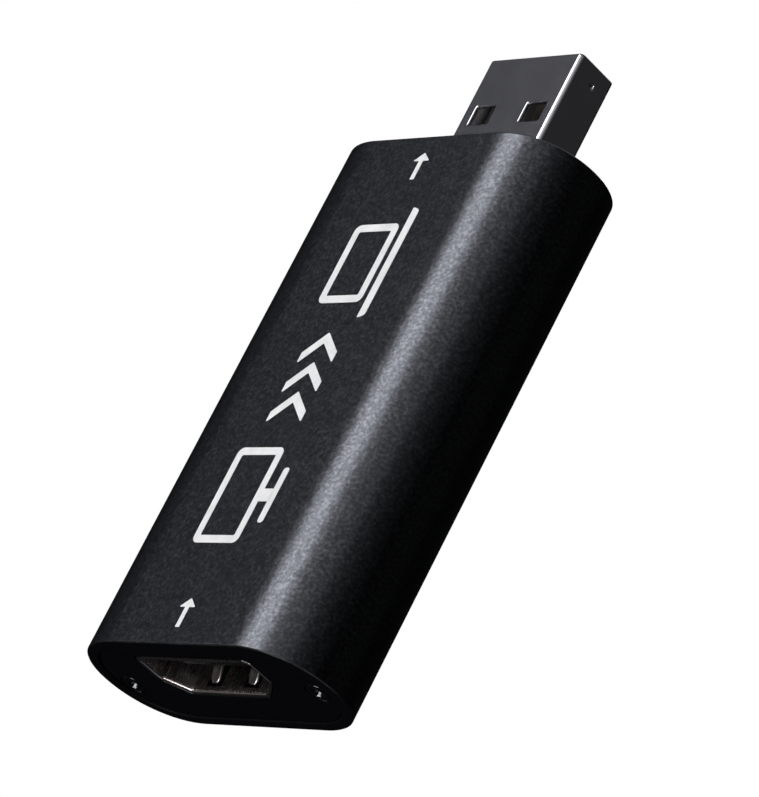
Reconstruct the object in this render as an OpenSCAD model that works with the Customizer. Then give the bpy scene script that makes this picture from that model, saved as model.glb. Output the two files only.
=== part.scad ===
// Video capture box: an extruded aluminium sleeve with an end cap let into each end,
// a plug standing out of the output end and a video socket in the input end.
// X is the width, Y runs from the input end to the tip of the plug, Z is up.
// The origin is on the underside, in the middle of the overall length and width.

/* [Housing] */
// length of the sleeve without the plug, mm
body_l = 53.1; // [52:0.1:60]
// width of the sleeve, mm
body_w = 29.7; // [29.5:0.1:30.5]
// thickness of the sleeve, mm
body_h = 13.1; // [13.1:0.1:13.7]
// wall of the sleeve, mm
wall = 1.1; // [1.0:0.05:1.15]

/* [End caps] */
// thickness of each end cap, mm
cap_t = 2.0; // [1.8:0.1:2.1]
// how far each cap lies behind the end of the sleeve, mm
cap_recess = 0.15; // [0.1:0.05:0.3]
// distance of each cap screw from the middle, mm
screw_x = 12.1; // [11.9:0.1:12.1]

/* [Plug] */
// length of the plug outside the sleeve, mm
plug_out = 13.2; // [12.4:0.2:14.4]
// width of the plug shell, mm
plug_w = 12.0; // [11.9:0.05:12.1]
// height of the plug shell, mm
plug_h = 4.5; // [4.4:0.05:4.6]

/* [Socket] */
// rest height of the crest of each retention spring above the shell wall, mm
spring_rise = 0.62; // [0.5:0.02:0.66]
// width of each retention spring, mm
spring_w = 1.35; // [1.2:0.05:1.4]

/* [Hidden] */
$fn = 96;
e = 0.01;
y_in = -(body_l + plug_out) / 2;
y_out = y_in + body_l;
y_tip = y_out + plug_out;
zm = body_h / 2;
half_w = body_w / 2;

// sleeve section: a flat band above and below, and full round sides
flat_half = half_w - zm;

// board
board_t = 1.0;
board_top = zm - 1.75;
board_hw = 10.35;
board_y0 = y_in + 2.45;
board_y1 = y_out - 2.35;
notch_y = y_out - 5.55;
notch_hw = 6.25;

// cap screws
screw_z = zm - 0.70;
screw_head_r = 1.2;
shank_r = 0.77;
hole_r = 0.80;
shank_l = 6.5;
boss_r = 1.5;

// socket, in the frame of the lip: depth is measured from the lip into the box
lip_y = y_in + 0.15;
sk_t = 0.30;
sk_zc = zm + 1.10;
sk_top = 2.70;
sk_bot = -2.75;
sk_hw = 7.35;
sk_kink = -0.60;
sk_foot = 5.00;
sk_l = 10.5;
sk_nx = 0.67504;
sk_nz = 0.73782;
sk_n0 = sk_nx * sk_hw - sk_nz * sk_kink;
tongue_d = 1.75;
tongue_z0 = 0.0 - 0.80;
tongue_z1 = 0.95;
tongue_hw = 5.3;
block_d = 7.6;
spring_x = 2.45;
spring_root = 6.4;
spring_t = 0.24;
window_hw = spring_w / 2 + 0.28;

// plug
pl_t = 0.30;
pl_zc = zm - 1.58;
pl_rear = y_out - 5.4;
pl_block = y_tip - 12.2;
pl_top_in = plug_h / 2 - pl_t;

// ---------- helpers ----------

// a section drawn in X and Z is swept from y0 to y1
module along_y(y0, y1) {
    translate([0, y1, 0]) rotate([90, 0, 0]) linear_extrude(height = y1 - y0) children();
}

// a section drawn in Y and Z is swept across X from x0 to x1
module across_x(x0, x1) {
    translate([x0, 0, 0]) rotate([90, 0, 90]) linear_extrude(height = x1 - x0) children();
}

module box(x0, x1, y0, y1, z0, z1) {
    translate([x0, y0, z0]) cube([x1 - x0, y1 - y0, z1 - z0]);
}

// a pie slice of radius r about the origin, between the directions a and b and on the side of m
module slice(r, a, m, b) {
    intersection() {
        circle(r = r);
        polygon([[0, 0], a, m, b]);
    }
}

// sleeve section, moved inward by d
module section(d) {
    translate([0, zm]) {
        square([2 * flat_half, 2 * (zm - d)], center = true);
        for (sx = [0, 1], sz = [0, 1]) mirror([sx, 0]) mirror([0, sz])
            translate([flat_half, 0]) slice(zm - d, [20, 0], [20, 20], [0, 20]);
    }
}

// rails that hold the board and the bosses for the cap screws, for the +X side
module rail_section() {
    intersection() {
        section(wall * 0.5);
        difference() {
            union() {
                translate([9.7, board_top - board_t - 0.95]) square([5, screw_z - board_top + board_t + 0.95]);
                translate([screw_x, screw_z]) circle(r = boss_r);
                translate([screw_x, screw_z - 0.9]) square([3, 1.8]);
            }
            translate([9, board_top - board_t - 0.06]) square([board_hw + 0.15 - 9, board_t + 0.12]);
        }
    }
}

// socket outline about its own centre, moved inward by d
module socket_outline(d) {
    zt = sk_top - d;
    zb = sk_bot + d;
    xs = sk_hw - d;
    zk = (sk_nx * xs - sk_n0 + d) / sk_nz;
    xf = (sk_n0 - d + sk_nz * zb) / sk_nx;
    polygon([[-xs, zt], [-xs, zk], [-xf, zb], [xf, zb], [xs, zk], [xs, zt]]);
}

module rounded_rect(w, h, r) {
    square([w - 2 * r, h], center = true);
    square([w, h - 2 * r], center = true);
    for (sx = [0, 1], sy = [0, 1]) mirror([sx, 0]) mirror([0, sy])
        translate([w / 2 - r, h / 2 - r]) slice(r, [20, 0], [20, 20], [0, 20]);
}

// countersunk cap screw along +Y with its face at y = 0
module cap_screw() {
    difference() {
        union() {
            rotate([-90, 0, 0]) cylinder(r = screw_head_r, h = 0.25);
            translate([0, 0.25, 0]) rotate([-90, 0, 0]) cylinder(r1 = screw_head_r, r2 = shank_r, h = 0.55);
            translate([0, 0.80, 0]) rotate([-90, 0, 0]) cylinder(r = shank_r, h = shank_l - 1.6);
            translate([0, shank_l - 0.8, 0]) rotate([-90, 0, 0]) cylinder(r1 = shank_r, r2 = 0.3, h = 0.8);
        }
        box(-0.80, 0.80, -0.1, 0.55, -0.17, 0.17);
        box(-0.17, 0.17, -0.1, 0.55, -0.80, 0.80);
    }
}

// seat for one cap screw, with its face at y = 0
module screw_seat() {
    rotate([-90, 0, 0]) translate([0, 0, -1]) cylinder(r = screw_head_r + 0.05, h = 1.27);
    translate([0, 0.27, 0]) rotate([-90, 0, 0]) cylinder(r1 = screw_head_r + 0.05, r2 = shank_r + 0.05, h = 0.55);
    rotate([-90, 0, 0]) cylinder(r = shank_r + 0.05, h = 5);
}

// ---------- housing ----------

module housing_sleeve() {
    color([0.07, 0.07, 0.08]) difference() {
        union() {
            along_y(y_in, y_out) difference() {
                section(0);
                section(wall);
            }
            for (sx = [0, 1]) mirror([sx, 0, 0])
                along_y(y_in + cap_recess + cap_t + 0.02, y_out - cap_recess - cap_t - 0.02) rail_section();
        }
        for (sx = [-1, 1]) translate([sx * screw_x, y_in + 1, screw_z]) rotate([-90, 0, 0])
            cylinder(r = hole_r, h = body_l - 2);
    }
}

module input_end_cap() {
    color([0.03, 0.03, 0.035]) difference() {
        along_y(y_in + cap_recess, y_in + cap_recess + cap_t) section(wall + 0.06);
        translate([0, 0, sk_zc]) along_y(y_in - 1, y_in + 4) socket_outline(-0.20);
        // room behind the front edge for the springs to bend outward
        for (sx = [-1, 1]) {
            box(sx * spring_x - 1.0, sx * spring_x + 1.0, lip_y + 0.75, y_in + 4, sk_zc + sk_bot - 0.75, sk_zc);
            box(sx * spring_x - 1.0, sx * spring_x + 1.0, lip_y + 0.75, y_in + 4, sk_zc, sk_zc + sk_top + 0.75);
            translate([sx * screw_x, y_in + cap_recess, screw_z]) screw_seat();
        }
    }
}

module output_end_cap() {
    color([0.03, 0.03, 0.035]) difference() {
        along_y(y_out - cap_recess - cap_t, y_out - cap_recess) section(wall + 0.06);
        translate([0, 0, pl_zc]) along_y(y_out - 4, y_out + 1) rounded_rect(plug_w + 0.16, plug_h + 0.16, 0.45);
        for (sx = [-1, 1])
            translate([sx * screw_x, y_out - cap_recess, screw_z]) mirror([0, 1, 0]) screw_seat();
    }
}

module input_cap_screws() {
    color([0.16, 0.16, 0.17]) for (sx = [-1, 1])
        translate([sx * screw_x, y_in + cap_recess, screw_z]) cap_screw();
}

module output_cap_screws() {
    color([0.16, 0.16, 0.17]) for (sx = [-1, 1])
        translate([sx * screw_x, y_out - cap_recess, screw_z]) mirror([0, 1, 0]) cap_screw();
}

// ---------- board ----------

module circuit_board() {
    color([0.05, 0.25, 0.12]) difference() {
        box(-board_hw, board_hw, board_y0, board_y1, board_top - board_t, board_top);
        box(-notch_hw, notch_hw, notch_y, board_y1 + 1, board_top - board_t - 1, board_top + 1);
        // room for the lower springs of the socket, and slots for the legs of the socket and of the plug
        for (sx = [-1, 1]) {
            box(sx * spring_x - 1.0, sx * spring_x + 1.0, board_y0 - 1, lip_y + spring_root + 0.2, board_top - board_t - 1, board_top + 1);
            for (d = [3.4, 8.4])
                box(sx * 7.2 - 0.35, sx * 7.2 + 0.35, lip_y + d - 0.7, lip_y + d + 0.7, board_top - board_t - 1, board_top + 1);
            box(sx * 7.55 - 0.35, sx * 7.55 + 0.35, y_out - 4.55, y_out - 2.95, board_top - board_t - 1, board_top + 1);
        }
    }
}

// ---------- video socket ----------

module socket_shell() {
    color([0.55, 0.55, 0.56]) difference() {
        union() {
            translate([0, 0, sk_zc]) {
                along_y(lip_y, lip_y + sk_l) socket_outline(0);
                along_y(lip_y, lip_y + 0.35) socket_outline(-0.12);
            }
            // legs that pass through the board
            for (sx = [0, 1], d = [3.4, 8.4]) mirror([sx, 0, 0])
                box(sk_hw - sk_t, sk_hw, lip_y + d - 0.5, lip_y + d + 0.5, board_top - board_t - 0.55, sk_zc);
        }
        translate([0, 0, sk_zc]) along_y(lip_y - 1, lip_y + sk_l + 1) socket_outline(sk_t);
        // windows around the springs
        for (sx = [-1, 1])
            box(sx * spring_x - window_hw, sx * spring_x + window_hw, lip_y + 0.65, lip_y + spring_root + 0.16,
                sk_zc + sk_bot - 1, sk_zc + sk_top + 1);
    }
}

module socket_insulator() {
    zt = sk_zc + tongue_z1;
    zb = sk_zc + tongue_z0;
    color([0.03, 0.03, 0.03]) difference() {
        union() {
            box(-tongue_hw, tongue_hw, lip_y + tongue_d, lip_y + block_d + 1, zb, zt);
            translate([0, 0, sk_zc]) along_y(lip_y + block_d, lip_y + sk_l) socket_outline(sk_t + 0.04);
        }
        // ways through the block for the contacts
        for (i = [0:9]) box(i - 4.5 - 0.26, i - 4.5 + 0.26, lip_y + block_d - 0.5, lip_y + sk_l + 1, zt - e, zt + 0.24);
        for (i = [0:8]) box(i - 4 - 0.26, i - 4 + 0.26, lip_y + block_d - 0.5, lip_y + sk_l + 1, zb - 0.24, zb + e);
    }
}

module socket_upper_contacts() {
    zt = sk_zc + tongue_z1;
    color([0.80, 0.62, 0.25]) for (i = [0:9]) translate([i - 4.5, 0, 0]) across_x(-0.19, 0.19)
        polygon([[lip_y + 2.5, zt], [lip_y + 11.5, zt], [lip_y + 11.5, board_top], [lip_y + 12.6, board_top],
                 [lip_y + 12.6, board_top + 0.2], [lip_y + 11.7, board_top + 0.2], [lip_y + 11.7, zt + 0.2], [lip_y + 2.5, zt + 0.2]]);
}

module socket_lower_contacts() {
    zb = sk_zc + tongue_z0;
    color([0.80, 0.62, 0.25]) for (i = [0:8]) translate([i - 4, 0, 0]) across_x(-0.19, 0.19)
        polygon([[lip_y + 2.5, zb - 0.2], [lip_y + 10.9, zb - 0.2], [lip_y + 10.9, board_top], [lip_y + 12.6, board_top],
                 [lip_y + 12.6, board_top + 0.2], [lip_y + 11.1, board_top + 0.2], [lip_y + 11.1, zb], [lip_y + 2.5, zb]]);
}

// one spring finger of the lower wall, drawn in Y and Z about its root with Y pointing to the free end
module finger() {
    h = spring_t / 2;
    c = spring_rise + sk_t / 2 - spring_t / 2;
    across_x(-spring_w / 2, spring_w / 2) polygon([
        [0, -h], [-2.1, -h], [-3.55, c - 0.10 - h], [-3.9, c - h], [-4.25, c - 0.04 - h], [-5.45, 0.02 - h],
        [-5.52, 0.02 + h * 0.6], [-5.40, 0.02 + h * 1.6], [-4.25, c - 0.02 + h], [-3.9, c + h], [-3.55, c - 0.06 + h], [-2.1, h], [0, h]]);
    rotate([0, 90, 0]) cylinder(r = h, h = spring_w, center = true);
}

module lower_finger(sx) {
    color([0.62, 0.62, 0.63]) translate([sx * spring_x, lip_y + spring_root, sk_zc + sk_bot + sk_t / 2]) finger();
}

module upper_finger(sx) {
    color([0.62, 0.62, 0.63]) translate([sx * spring_x, lip_y + spring_root, sk_zc + sk_top - sk_t / 2]) mirror([0, 0, 1]) finger();
}

module spring_upper_left() { upper_finger(-1); }
module spring_upper_right() { upper_finger(1); }
module spring_lower_left() { lower_finger(-1); }
module spring_lower_right() { lower_finger(1); }

// ---------- plug ----------

module plug_shell() {
    color([0.60, 0.60, 0.61]) difference() {
        union() {
            translate([0, 0, pl_zc]) along_y(pl_rear, y_tip) rounded_rect(plug_w, plug_h, 0.4);
            // legs that stand in the board
            for (sx = [0, 1]) mirror([sx, 0, 0]) {
                box(plug_w / 2 - 0.2, 7.7, y_out - 4.35, y_out - 3.15, board_top + 0.05, board_top + 0.35);
                box(7.4, 7.7, y_out - 4.35, y_out - 3.15, board_top - board_t - 0.5, board_top + 0.35);
            }
        }
        translate([0, 0, pl_zc]) along_y(pl_rear - 1, y_tip + 1) square([plug_w - 2 * pl_t, plug_h - 2 * pl_t], center = true);
        // latching windows
        for (sx = [-1, 1])
            box(sx * 3.3 - 1.25, sx * 3.3 + 1.25, y_tip - 7.35, y_tip - 5.3, pl_zc - 3, pl_zc + 3);
    }
}

module plug_insulator() {
    hw = plug_w / 2 - pl_t - 0.04;
    zb = pl_zc - plug_h / 2 + pl_t + 0.02;
    zt = board_top + 0.2;
    color([0.05, 0.05, 0.055]) difference() {
        union() {
            box(-hw, hw, pl_rear + 0.4, y_tip - 0.5, zb, zt);
            box(-hw, hw, pl_rear + 0.4, pl_block, zb, pl_zc + pl_top_in - 0.02);
        }
        // beds for the contacts, and ways through the block
        for (x = [-3.5, 3.5]) box(x - 0.53, x + 0.53, pl_rear, y_tip - 1.2, board_top - 0.02, zt + 0.03);
        for (x = [-1, 1]) box(x - 0.53, x + 0.53, pl_rear, y_tip - 2.2, board_top - 0.02, zt + 0.03);
    }
}

module plug_contacts() {
    color([0.80, 0.62, 0.25]) {
        for (x = [-3.5, 3.5]) box(x - 0.5, x + 0.5, notch_y - 1.6, y_tip - 1.25, board_top, board_top + 0.2);
        for (x = [-1, 1]) box(x - 0.5, x + 0.5, notch_y - 1.6, y_tip - 2.25, board_top, board_top + 0.2);
    }
}

// ---------- parts on the board ----------

// where each part sits
chip_y = y_in + 25.2;
mem_p = [6.2, y_in + 23.0];
reg_p = [-5.2, y_in + 36.4];
xtal_p = [-7.4, y_in + 25.2];
bulk_p = [5.6, y_in + 41.6];

// one bent lead that leaves a package side at x = 0 toward +X, zb above the board at its root
module gull(w, zb, reach, t) {
    translate([0, w / 2, board_top]) rotate([90, 0, 0]) linear_extrude(height = w) polygon([
        [0, zb], [0, zb + t], [reach * 0.36 + t * 0.5, zb + t], [reach * 0.56 + t * 0.5, t], [reach, t], [reach, 0], [reach * 0.50, 0], [reach * 0.36, zb]]);
}

module capture_chip() {
    color([0.06, 0.06, 0.065]) difference() {
        translate([0, chip_y, board_top]) box(-3.5, 3.5, -3.5, 3.5, 0.12, 1.5);
        translate([-2.7, chip_y - 2.7, board_top + 1.42]) cylinder(r = 0.35, h = 1);
    }
}

module capture_chip_leads() {
    color([0.72, 0.72, 0.73]) translate([0, chip_y, 0]) for (a = [0:3]) rotate([0, 0, 90 * a])
        for (i = [0:11]) translate([3.5, 0.5 * (i - 5.5), 0]) gull(0.22, 0.7, 1.0, 0.14);
}

module memory_chip() {
    color([0.06, 0.06, 0.065]) difference() {
        translate([mem_p[0], mem_p[1], board_top]) box(-1.0, 1.0, -1.5, 1.5, 0.1, 1.0);
        translate([mem_p[0] - 0.6, mem_p[1] - 1.1, board_top + 0.93]) cylinder(r = 0.22, h = 1);
    }
}

module memory_chip_leads() {
    color([0.72, 0.72, 0.73]) translate([mem_p[0], mem_p[1], 0]) for (a = [0, 180]) rotate([0, 0, a])
        for (i = [0:3]) translate([1.0, 0.65 * (i - 1.5), 0]) gull(0.24, 0.45, 0.8, 0.14);
}

module power_regulator() {
    color([0.06, 0.06, 0.065]) translate([reg_p[0], reg_p[1], board_top]) box(-1.75, 1.75, -3.25, 3.25, 0.06, 1.66);
}

module power_regulator_leads() {
    color([0.72, 0.72, 0.73]) translate([reg_p[0], reg_p[1], 0]) {
        for (i = [-1, 0, 1]) translate([1.75, 2.3 * i, 0]) gull(0.7, 0.75, 1.6, 0.26);
        rotate([0, 0, 180]) translate([1.75, 0, 0]) gull(3.0, 0.75, 1.6, 0.26);
    }
}

module crystal_can() {
    color([0.70, 0.70, 0.71]) translate([xtal_p[0], xtal_p[1], board_top]) {
        box(-1.6, 1.6, -2.5, 2.5, 0, 0.55);
        box(-1.35, 1.35, -2.25, 2.25, 0.55, 1.0);
    }
}

module surge_arrays() {
    color([0.08, 0.08, 0.085]) for (x = [-4.5, -1.5, 1.5, 4.5])
        translate([x, y_in + 15.6, board_top]) box(-1.25, 1.25, -0.5, 0.5, 0, 0.5);
}

// bodies of two-ended parts along X or along Y
caps_x = [[-7.6, 31.2], [-7.6, 32.6], [7.2, 26.8], [7.2, 28.2], [7.2, 29.6], [2.6, 33.4], [2.6, 34.8]];
caps_y = [[-3.0, 19.6], [-1.2, 19.6], [0.6, 19.6], [2.4, 19.6], [-2.4, 31.6], [-0.8, 31.6], [0.8, 31.6]];
res_x = [[7.4, 18.8], [7.4, 20.0], [-7.4, 18.8], [-7.4, 20.0], [-7.4, 21.2]];
res_y = [[4.6, 18.2], [-5.0, 18.2], [-1.2, 44.4], [1.2, 44.4]];
bead_y = [[-3.5, 44.0], [3.5, 44.0], [8.4, 34.0]];

module at(p) { translate([p[0], y_in + p[1], board_top]) children(); }

module ceramic_capacitors() {
    color([0.55, 0.42, 0.28]) {
        for (p = caps_x) at(p) box(-0.46, 0.46, -0.38, 0.38, 0.03, 0.72);
        for (p = caps_y) at(p) box(-0.38, 0.38, -0.46, 0.46, 0.03, 0.72);
    }
}

module chip_resistors() {
    color([0.06, 0.06, 0.07]) {
        for (p = res_x) at(p) box(-0.46, 0.46, -0.36, 0.36, 0.03, 0.42);
        for (p = res_y) at(p) box(-0.36, 0.36, -0.46, 0.46, 0.03, 0.42);
    }
}

module ferrite_beads() {
    color([0.20, 0.20, 0.21]) for (p = bead_y) at(p) box(-0.55, 0.55, -0.62, 0.62, 0.03, 0.88);
}

module bulk_capacitor() {
    color([0.75, 0.55, 0.12]) translate([bulk_p[0], bulk_p[1], board_top]) box(-1.4, 1.4, -1.75, 1.75, 0.1, 1.9);
}

module passive_terminals() {
    color([0.74, 0.74, 0.75]) {
        for (p = caps_x, s = [0, 1]) at(p) mirror([s, 0, 0]) box(0.46, 0.8, -0.40, 0.40, 0, 0.75);
        for (p = caps_y, s = [0, 1]) at(p) mirror([0, s, 0]) box(-0.40, 0.40, 0.46, 0.8, 0, 0.75);
        for (p = res_x, s = [0, 1]) at(p) mirror([s, 0, 0]) box(0.46, 0.8, -0.38, 0.38, 0, 0.45);
        for (p = res_y, s = [0, 1]) at(p) mirror([0, s, 0]) box(-0.38, 0.38, 0.46, 0.8, 0, 0.45);
        for (p = bead_y, s = [0, 1]) at(p) mirror([0, s, 0]) box(-0.57, 0.57, 0.62, 1.0, 0, 0.9);
        for (s = [0, 1]) translate([bulk_p[0], bulk_p[1], board_top]) mirror([0, s, 0]) box(-1.1, 1.1, 1.75, 1.95, 0, 1.0);
    }
}

// ---------- selection ----------

housing_sleeve();
input_end_cap();
output_end_cap();
input_cap_screws();
output_cap_screws();
circuit_board();
socket_shell();
socket_insulator();
socket_upper_contacts();
socket_lower_contacts();
spring_upper_left();
spring_upper_right();
spring_lower_left();
spring_lower_right();
plug_shell();
plug_insulator();
plug_contacts();
capture_chip();
capture_chip_leads();
memory_chip();
memory_chip_leads();
power_regulator();
power_regulator_leads();
crystal_can();
surge_arrays();
ceramic_capacitors();
chip_resistors();
ferrite_beads();
bulk_capacitor();
passive_terminals();
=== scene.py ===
import math

import bmesh
import bpy
from mathutils import Matrix, Vector
from mathutils.geometry import tessellate_polygon


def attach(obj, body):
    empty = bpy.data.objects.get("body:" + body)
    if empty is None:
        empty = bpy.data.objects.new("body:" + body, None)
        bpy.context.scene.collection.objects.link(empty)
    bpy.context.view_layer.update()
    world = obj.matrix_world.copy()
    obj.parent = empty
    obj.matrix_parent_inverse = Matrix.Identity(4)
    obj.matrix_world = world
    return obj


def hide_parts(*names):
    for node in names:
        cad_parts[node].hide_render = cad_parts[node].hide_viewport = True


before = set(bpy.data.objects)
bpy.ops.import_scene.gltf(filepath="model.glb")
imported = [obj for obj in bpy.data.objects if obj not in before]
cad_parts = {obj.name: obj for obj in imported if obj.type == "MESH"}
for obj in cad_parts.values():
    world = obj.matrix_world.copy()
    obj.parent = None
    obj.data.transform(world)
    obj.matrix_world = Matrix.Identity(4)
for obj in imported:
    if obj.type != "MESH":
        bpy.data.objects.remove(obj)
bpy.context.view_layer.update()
scene = bpy.context.scene
MM = 0.001

# ---------------------------------------------------------------- dimensions, mm, as in the solid model
BODY_L, PLUG_OUT, WALL = 53.1, 13.2, 1.1
HALF_W, ZM = 14.85, 6.55
FLAT = HALF_W - ZM
SIDE_A, SIDE_N = 7.05, 2.10  # half-width and exponent of the side curves, which run into the flats more softly than a circle
Y_IN = -(BODY_L + PLUG_OUT) / 2
Y_OUT = Y_IN + BODY_L
Y_TIP = Y_OUT + PLUG_OUT
CAP_T, CAP_RECESS = 2.0, 0.15
SCREW_X, SCREW_Z, HEAD_R = 12.1, ZM - 0.70, 1.2
BOARD_TOP, BOARD_T, BOARD_HW = ZM - 1.75, 1.0, 10.35
LIP_Y, SK_ZC = Y_IN + 0.15, ZM + 1.10
SK_TOP, SK_BOT, SK_HW, SK_KINK, SK_FOOT, SK_L, SK_T = 2.70, -2.75, 7.35, -0.60, 5.00, 10.5, 0.30
SPRING_X, SPRING_ROOT, SPRING_T, SPRING_W, SPRING_RISE = 2.45, 6.4, 0.24, 1.35, 0.62
PL_T, PL_ZC, PL_REAR, PLUG_W, PLUG_H = 0.34, ZM - 1.58, Y_OUT - 5.4, 12.10, 4.60  # outside 0.05 mm fuller a side


# ---------------------------------------------------------------- mesh helpers
def make(name, verts, faces, smooth=30.0):
    """A mesh object from points in millimetres. Edges sharper than smooth degrees stay crisp."""
    me = bpy.data.meshes.new(name)
    me.from_pydata([Vector(v) * MM for v in verts], [], faces)
    me.validate()
    bm = bmesh.new()
    bm.from_mesh(me)
    bmesh.ops.recalc_face_normals(bm, faces=bm.faces)
    bm.to_mesh(me)
    bm.free()
    ob = bpy.data.objects.new(name, me)
    scene.collection.objects.link(ob)
    shade(ob, smooth)
    return ob


def shade(ob, smooth=30.0):
    me = ob.data
    me.polygons.foreach_set("use_smooth", [True] * len(me.polygons))
    me.set_sharp_from_angle(angle=math.radians(smooth))
    me.update()


def loft(rings, ring_closed=True, path_closed=False, cap=False):
    """Points and quads through rings of equal length."""
    n = len(rings[0])
    verts = [p for r in rings for p in r]
    faces = []
    last = len(rings) if path_closed else len(rings) - 1
    for i in range(last):
        a, b = i * n, ((i + 1) % len(rings)) * n
        for j in range(n if ring_closed else n - 1):
            k = (j + 1) % n
            faces.append((a + j, a + k, b + k, b + j))
    if cap and not path_closed:
        faces.append(tuple(range(n)))
        faces.append(tuple((len(rings) - 1) * n + j for j in range(n)))
    return verts, faces


def arc(cx, cz, r, a0, a1, n):
    """n + 1 points of an arc, angles in degrees from +x towards +z."""
    return [(cx + r * math.cos(math.radians(a0 + (a1 - a0) * i / n)),
             cz + r * math.sin(math.radians(a0 + (a1 - a0) * i / n))) for i in range(n + 1)]


def section(d, flats=14, side=72):
    """Outline of the sleeve moved inward by d, as (x, z) points, always the same number of them."""
    a, b, fx = SIDE_A - d, ZM - d, HALF_W - SIDE_A
    bend = []
    for i in range(side + 1):
        t = math.pi * (i / side - 0.5)
        c, e = max(math.cos(t), 0.0) ** (2 / SIDE_N), abs(math.sin(t)) ** (2 / SIDE_N)
        bend.append((fx + a * c, math.copysign(b * e, t)))
    pts = [(x, ZM + z) for x, z in bend]
    pts += [(fx - 2 * fx * i / flats, 2 * ZM - d) for i in range(1, flats)]
    pts += [(-x, ZM - z) for x, z in bend]
    pts += [(-fx + 2 * fx * i / flats, d) for i in range(1, flats)]
    return pts


def rounded(poly, radii, n=6):
    """A polygon with its corners rounded, n + 1 points a corner."""
    out = []
    m = len(poly)
    for i in range(m):
        p, a, b = Vector(poly[i]), Vector(poly[i - 1]), Vector(poly[(i + 1) % m])
        u, v = (a - p).normalized(), (b - p).normalized()
        half = math.acos(max(-1, min(1, u.dot(v)))) / 2
        r = max(radii[i], 1e-4)
        cut = r / math.tan(half)
        c = p + (u + v).normalized() * (r / math.sin(half))
        s, e = p + u * cut - c, p + v * cut - c
        a0 = math.atan2(s.y, s.x)
        a1 = math.atan2(e.y, e.x)
        while a1 - a0 > math.pi:
            a1 -= 2 * math.pi
        while a1 - a0 < -math.pi:
            a1 += 2 * math.pi
        for k in range(n + 1):
            t = a0 + (a1 - a0) * k / n
            out.append((c.x + r * math.cos(t), c.y + r * math.sin(t)))
    return out


NX, NZ = 0.67504, 0.73782
N0 = NX * SK_HW - NZ * SK_KINK


def socket_outline(d, r_out=0.55, n=6):
    """Outline of the socket moved inward by d, about the socket's own centre."""
    zt, zb, xs = SK_TOP - d, SK_BOT + d, SK_HW - d
    zk = (NX * xs - N0 + d) / NZ
    xf = (N0 - d + NZ * zb) / NX
    poly = [(xs, zk), (xs, zt), (-xs, zt), (-xs, zk), (-xf, zb), (xf, zb)]
    r = max(r_out - d, 0.12)
    r2 = max(0.9 - d, 0.3)
    return rounded(poly, [r2, r, r, r2, r2, r2], n)


def rect_outline(w, h, d, r, n=8, r_top=None):
    x, z = w / 2 - d, h / 2 - d
    lower, upper = max(r - d, 0.06), max((r_top or r) - d, 0.06)
    return rounded([(x, -z), (x, z), (-x, z), (-x, -z)], [lower, upper, upper, lower], n)


def ring_y(pts, y, zc=0.0):
    return [(x, y, z + zc) for x, z in pts]


def boxm(name, x0, x1, y0, y1, z0, z1, bevel=0.0, seg=2):
    v = [(x, y, z) for x in (x0, x1) for y in (y0, y1) for z in (z0, z1)]
    f = [(0, 1, 3, 2), (4, 6, 7, 5), (0, 4, 5, 1), (2, 3, 7, 6), (0, 2, 6, 4), (1, 5, 7, 3)]
    ob = make(name, v, f)
    if bevel:
        bm = bmesh.new()
        bm.from_mesh(ob.data)
        bmesh.ops.bevel(bm, geom=list(bm.edges), offset=bevel * MM, segments=seg, affect="EDGES", profile=0.5)
        bm.to_mesh(ob.data)
        bm.free()
        shade(ob)
    return ob


def revolve(name, profile, n=48, smooth=30.0):
    """A solid of revolution about +Y from (r, y) points; the first and last point are on the axis."""
    verts, rows = [], []
    for r, y in profile:
        if r < 1e-9:
            rows.append([len(verts)])
            verts.append((0, y, 0))
        else:
            rows.append([len(verts) + k for k in range(n)])
            verts += [(r * math.cos(2 * math.pi * k / n), y, r * math.sin(2 * math.pi * k / n)) for k in range(n)]
    faces = []
    for a, b in zip(rows, rows[1:]):
        for k in range(n):
            j = (k + 1) % n
            if len(a) == 1:
                faces.append((a[0], b[k], b[j]))
            elif len(b) == 1:
                faces.append((a[k], b[0], a[j]))
            else:
                faces.append((a[k], b[k], b[j], a[j]))
    return make(name, verts, faces, smooth)


def place(ob, matrix):
    ob.data.transform(matrix)
    ob.data.update()
    return ob


def shift(x, y, z):
    return Matrix.Translation(Vector((x, y, z)) * MM)


def drop(ob):
    me = ob.data
    bpy.data.objects.remove(ob)
    bpy.data.meshes.remove(me)


def cut(ob, tools, op="DIFFERENCE", smooth=30.0):
    """Cuts tools from ob, or joins them to it, and leaves the plain mesh."""
    for t in tools:
        m = ob.modifiers.new("cut", "BOOLEAN")
        m.operation, m.solver, m.object = op, "EXACT", t
        bpy.context.view_layer.update()
        me = bpy.data.meshes.new_from_object(ob.evaluated_get(bpy.context.evaluated_depsgraph_get()))
        ob.modifiers.clear()
        old = ob.data
        ob.data = me
        bpy.data.meshes.remove(old)
    for t in tools:
        drop(t)
    bm = bmesh.new()
    bm.from_mesh(ob.data)
    bmesh.ops.remove_doubles(bm, verts=bm.verts, dist=1e-7)
    bmesh.ops.dissolve_degenerate(bm, edges=bm.edges, dist=1e-7)
    bm.to_mesh(ob.data)
    bm.free()
    shade(ob, smooth)
    return ob


def level(ob):
    """Lets the large faces decide the shading normals, so that flat faces shade flat up to their rounded edges."""
    m = ob.modifiers.new("level", "WEIGHTED_NORMAL")
    m.mode, m.weight, m.keep_sharp = "FACE_AREA", 50, True
    bpy.context.view_layer.update()
    me = bpy.data.meshes.new_from_object(ob.evaluated_get(bpy.context.evaluated_depsgraph_get()))
    ob.modifiers.clear()
    old = ob.data
    ob.data = me
    bpy.data.meshes.remove(old)
    return ob


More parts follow.
